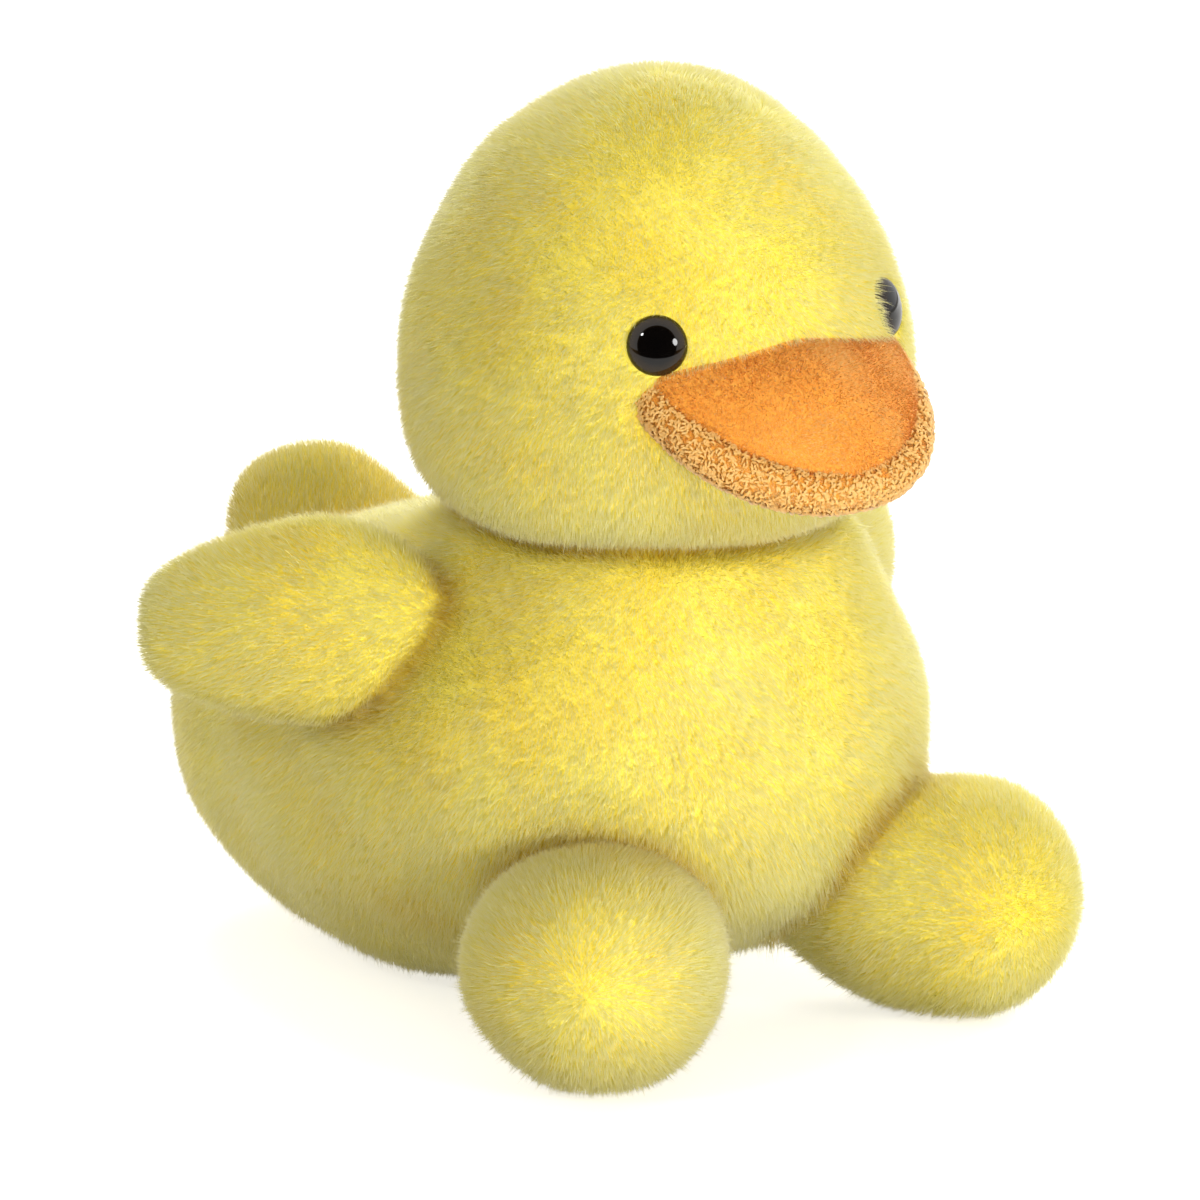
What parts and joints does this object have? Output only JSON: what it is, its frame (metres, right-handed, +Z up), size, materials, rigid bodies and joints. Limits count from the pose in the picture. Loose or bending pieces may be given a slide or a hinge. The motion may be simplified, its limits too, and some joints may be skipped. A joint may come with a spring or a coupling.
{
  "type": "plush duck toy",
  "caption": "Small sitting plush duckling with a yellow pile body, orange padded bill, safety eyes, and stuffed wings, feet and tail.",
  "frame": {"origin": "on the floor under the middle of the duck's bounding box", "axes": "+Z up, the duck faces -Y, and its own left side is +X"},
  "size_m": [0.1122, 0.1248, 0.1201],
  "materials": {
    "yellow_plush": "short dense plush pile with a soft nap",
    "orange_velour": "short velour",
    "polyester_fill": "loose polyester fibre fill",
    "pouch_cloth": "plain woven cloth filled with pellets",
    "eye_plastic": "polished",
    "washer_plastic": "moulded"
  },
  "bodies": {
    "body": {"body_skin": "yellow_plush", "body_stuffing": "polyester_fill", "pellet_pouch": "pouch_cloth"},
    "head": {"head_skin": "yellow_plush", "head_stuffing": "polyester_fill", "bill_upper_skin": "orange_velour", "bill_upper_stuffing": "polyester_fill", "bill_lower_skin": "orange_velour", "bill_lower_stuffing": "polyester_fill", "eye_left": "eye_plastic", "eye_right": "eye_plastic", "eye_washer_left": "washer_plastic", "eye_washer_right": "washer_plastic"},
    "wing_left": {"wing_left_skin": "yellow_plush", "wing_left_stuffing": "polyester_fill"},
    "wing_right": {"wing_right_skin": "yellow_plush", "wing_right_stuffing": "polyester_fill"},
    "foot_left": {"foot_left_skin": "yellow_plush", "foot_left_stuffing": "polyester_fill"},
    "foot_right": {"foot_right_skin": "yellow_plush", "foot_right_stuffing": "polyester_fill"},
    "tail": {"tail_skin": "yellow_plush", "tail_stuffing": "polyester_fill"}
  },
  "joints": [
    {"name": "head_nod", "type": "hinge", "parent": "body", "child": "head", "pos_m": [0, -0.01721, 0.0415], "axis": [1, 0, 0], "range_deg": [-8, 10], "stiffness_Nm_per_rad": 0.15},
    {"name": "wing_left_swing", "type": "hinge", "parent": "body", "child": "wing_left", "pos_m": [0.0318, -0.01031, 0.053], "axis": [0, 0, 1], "range_deg": [-22, 6], "stiffness_Nm_per_rad": 0.02},
    {"name": "wing_right_swing", "type": "hinge", "parent": "body", "child": "wing_right", "pos_m": [-0.0318, -0.01031, 0.053], "axis": [0, 0, -1], "range_deg": [-22, 6], "stiffness_Nm_per_rad": 0.02},
    {"name": "foot_left_lift", "type": "hinge", "parent": "body", "child": "foot_left", "pos_m": [0.02185, -0.03775, 0.023], "axis": [-0.766, -0.6428, 0], "range_deg": [0, 20], "stiffness_Nm_per_rad": 0.04},
    {"name": "foot_right_lift", "type": "hinge", "parent": "body", "child": "foot_right", "pos_m": [-0.02185, -0.03775, 0.023], "axis": [-0.766, 0.6428, 0], "range_deg": [0, 20], "stiffness_Nm_per_rad": 0.04},
    {"name": "tail_tilt", "type": "hinge", "parent": "body", "child": "tail", "pos_m": [0, 0.04459, 0.04], "axis": [1, 0, 0], "range_deg": [-10, 12], "stiffness_Nm_per_rad": 0.01}
  ]
}
